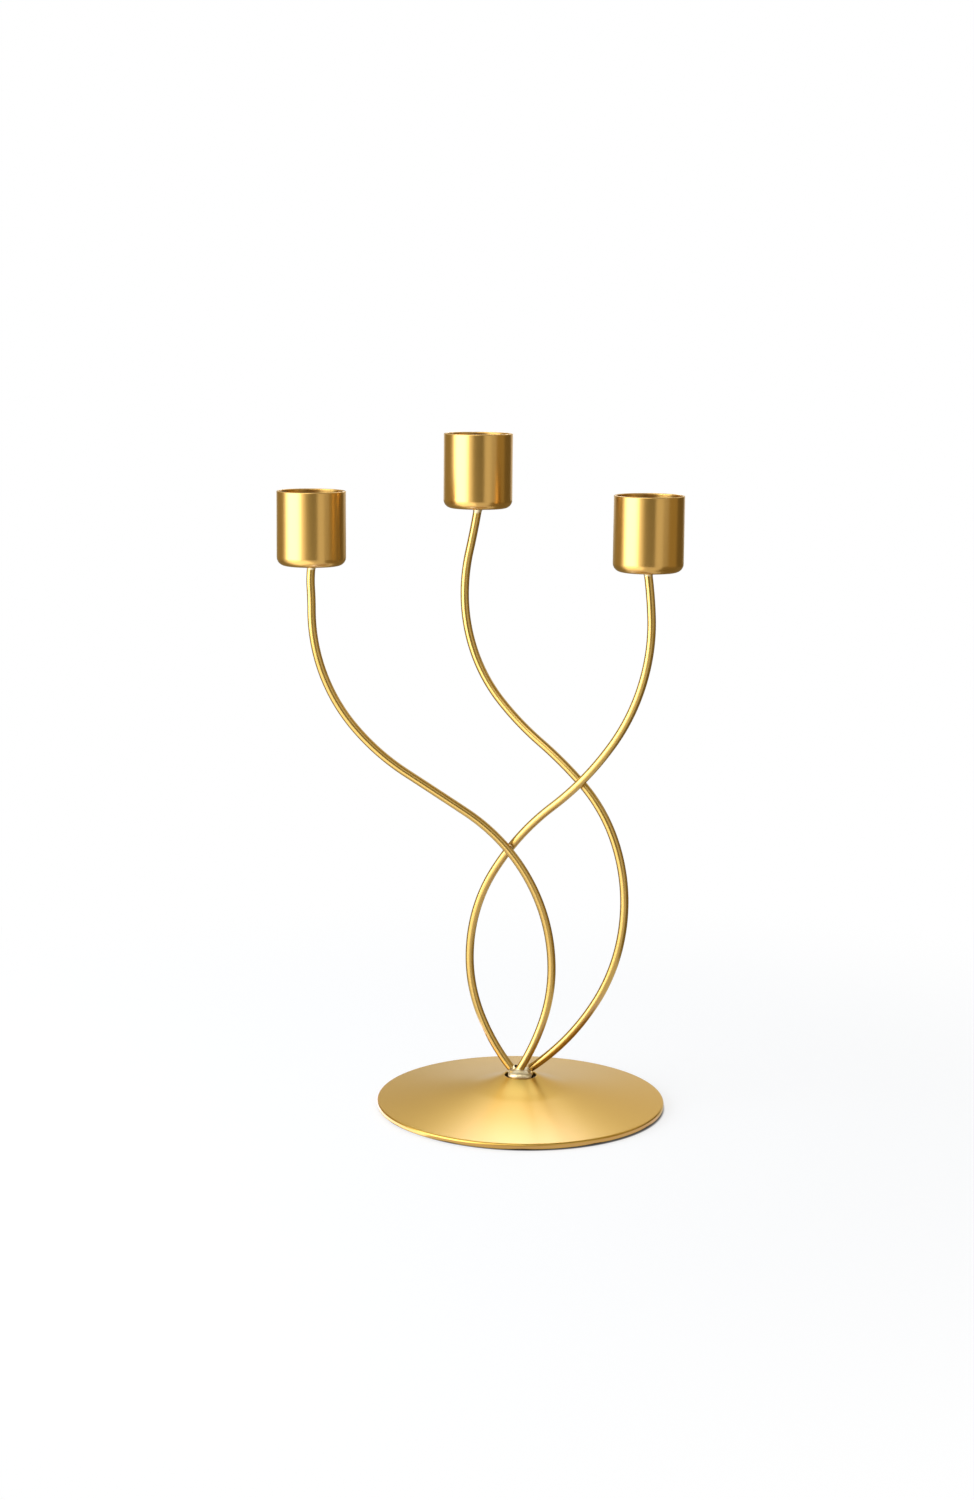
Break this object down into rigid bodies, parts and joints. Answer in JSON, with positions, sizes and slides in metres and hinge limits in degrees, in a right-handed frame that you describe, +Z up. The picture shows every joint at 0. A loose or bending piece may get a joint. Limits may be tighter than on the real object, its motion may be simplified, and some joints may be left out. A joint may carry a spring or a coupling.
{
  "type": "candle stand",
  "caption": "Table candle stand: a shallow conical base plate carries bent wire arms that cross one another and end in round cups for taper candles.",
  "frame": {"origin": "on the table, under the middle of the base plate", "axes": "+Z up; -Y towards the front, from where the left cup is on the left; +X to the right"},
  "size_m": [0.1424, 0.105, 0.244],
  "materials": {
    "plate_brass": "satin brushed",
    "hub_brass": "satin",
    "wire_brass": "satin brushed along the wire",
    "cup_brass": "satin brushed round the cup",
    "braze": "smooth, slightly dull",
    "zinc_steel": "bright zinc",
    "pad_foam": "fine closed-cell foam"
  },
  "bodies": {
    "root": {"base_plate": "plate_brass", "base_pad": "pad_foam", "hub_boss": "hub_brass", "hub_screw": "zinc_steel", "hub_washer": "zinc_steel", "hub_weld": "braze", "arm_left": "wire_brass", "arm_middle": "wire_brass", "arm_right": "wire_brass", "cup_left": "cup_brass", "cup_middle": "cup_brass", "cup_right": "cup_brass", "cup_welds": "braze", "cross_welds": "braze"}
  },
  "joints": []
}
